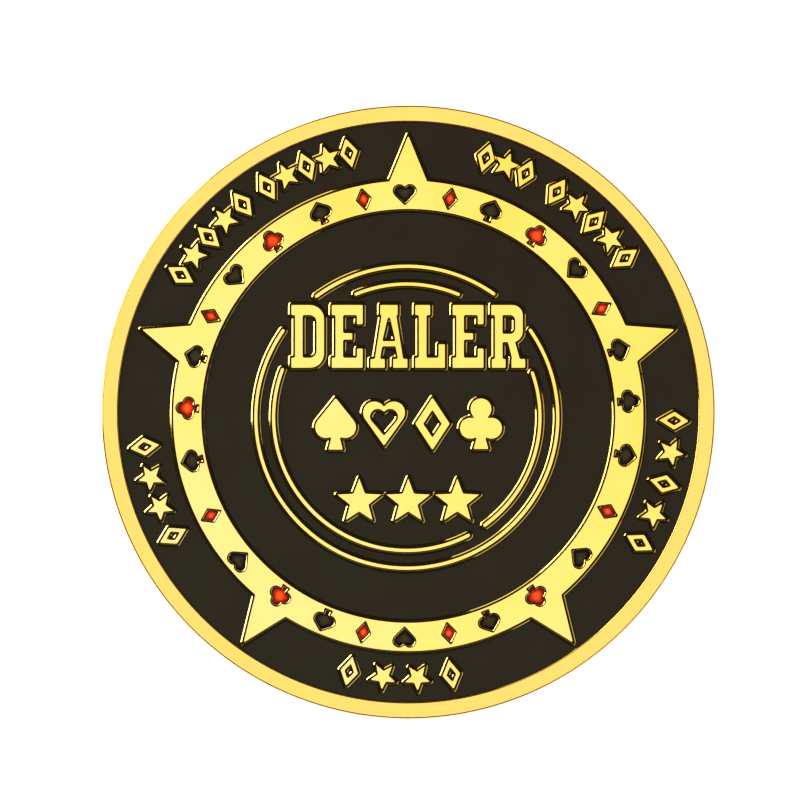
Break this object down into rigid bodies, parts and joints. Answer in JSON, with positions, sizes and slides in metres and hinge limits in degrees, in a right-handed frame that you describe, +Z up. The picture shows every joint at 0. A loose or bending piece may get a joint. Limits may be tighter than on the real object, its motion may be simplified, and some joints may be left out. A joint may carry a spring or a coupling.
{
  "type": "dealer button",
  "caption": "Flat round metal token with a plated rim and a raised five-pointed star band, and enamel-filled recesses on both faces; marks the dealer at a card table.",
  "frame": {"origin": "centre of the face the token rests on, at the plane of the lower rim", "axes": "+Z up through the thickness, out of the front face; +Y towards the top of the design"},
  "size_m": [0.05, 0.05, 0.0035],
  "materials": {
    "gold_plating": "polished gold plating on a zinc alloy body",
    "black_enamel": "glossy cured soft enamel, black",
    "red_enamel": "glossy cured soft enamel, translucent red"
  },
  "bodies": {
    "root": {"back_black_club_pip": "black_enamel", "back_centre_field_enamel": "black_enamel", "back_club_pips": "red_enamel", "back_diamond_pips": "red_enamel", "back_heart_pips": "black_enamel", "back_lettering_counter_enamel": "black_enamel", "back_ornament_counter_enamel": "black_enamel", "back_outer_field_enamel": "black_enamel", "back_spade_pips": "black_enamel", "front_centre_field_enamel": "black_enamel", "front_lettering_counter_enamel": "black_enamel", "front_ornament_counter_enamel": "black_enamel", "front_outer_field_enamel": "black_enamel", "front_pip_01_heart": "black_enamel", "front_pip_02_diamond": "red_enamel", "front_pip_03_spade": "black_enamel", "front_pip_04_club": "red_enamel", "front_pip_05_heart": "black_enamel", "front_pip_06_diamond": "red_enamel", "front_pip_07_spade": "black_enamel", "front_pip_08_club": "black_enamel", "front_pip_09_spade": "black_enamel", "front_pip_10_diamond": "red_enamel", "front_pip_11_heart": "black_enamel", "front_pip_12_club": "red_enamel", "front_pip_13_spade": "black_enamel", "front_pip_14_diamond": "red_enamel", "front_pip_15_heart": "black_enamel", "front_pip_16_diamond": "red_enamel", "front_pip_17_spade": "black_enamel", "front_pip_18_club": "red_enamel", "front_pip_19_heart": "black_enamel", "front_pip_20_diamond": "red_enamel", "front_pip_21_spade": "black_enamel", "front_pip_22_club": "red_enamel", "front_pip_23_spade": "black_enamel", "front_pip_24_diamond": "red_enamel", "front_pip_25_heart": "black_enamel", "front_pip_26_club": "red_enamel", "front_pip_27_spade": "black_enamel", "front_pip_28_diamond": "red_enamel", "struck_body": "gold_plating"}
  },
  "joints": []
}
